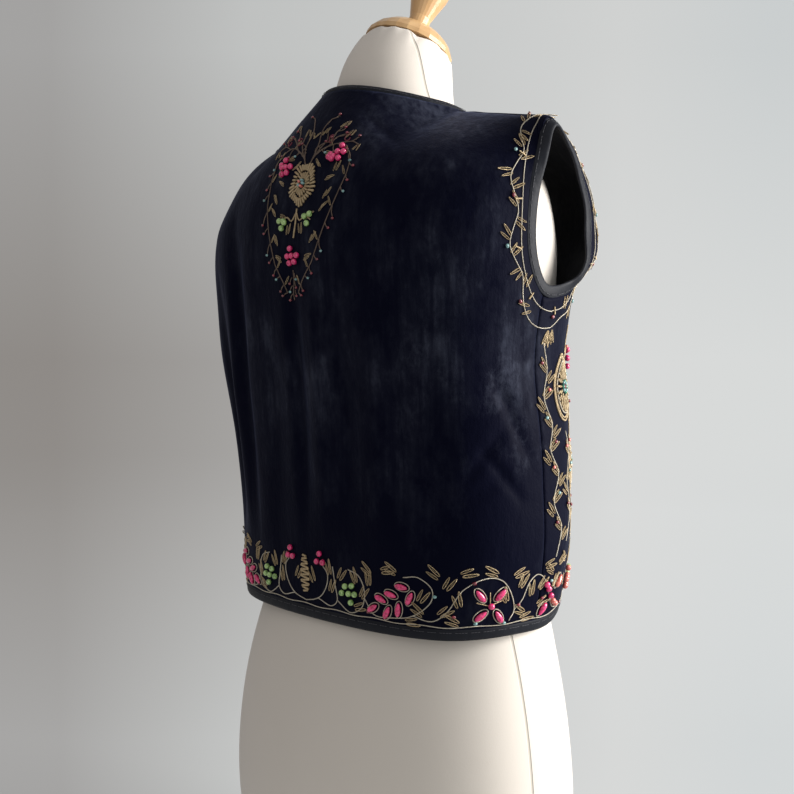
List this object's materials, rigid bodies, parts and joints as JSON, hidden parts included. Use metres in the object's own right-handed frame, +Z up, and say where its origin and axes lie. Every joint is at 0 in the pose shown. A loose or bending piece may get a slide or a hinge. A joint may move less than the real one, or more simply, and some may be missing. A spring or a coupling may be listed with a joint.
{
  "type": "embroidered velvet folk vest on a limbless dress form",
  "caption": "Sleeveless open-front velvet vest with satin bindings and bead and bullion embroidery, standing on a limbless cloth-covered dress form with a turned wooden finial.",
  "frame": {"origin": "centre of the part's box in plan, at the flat bottom of the dress form", "axes": "+Z up along the dress form, -Y towards the open front of the vest, +X towards the wearer's left side"},
  "size_m": [0.4038, 0.2422, 0.8189],
  "materials": {
    "velvet": "matte pile",
    "satin": "satin",
    "form_cover": "matte",
    "wood": "varnished"
  },
  "bodies": {
    "root": {"back_panel": "velvet", "front_panel_left": "velvet", "front_panel_right": "velvet", "lining_back": "satin", "lining_front_left": "satin", "lining_front_right": "satin", "armhole_binding_left": "satin", "armhole_binding_right": "satin", "edge_binding": "satin", "form_torso": "form_cover", "form_neck_cap": "wood", "form_finial": "wood"}
  },
  "joints": []
}
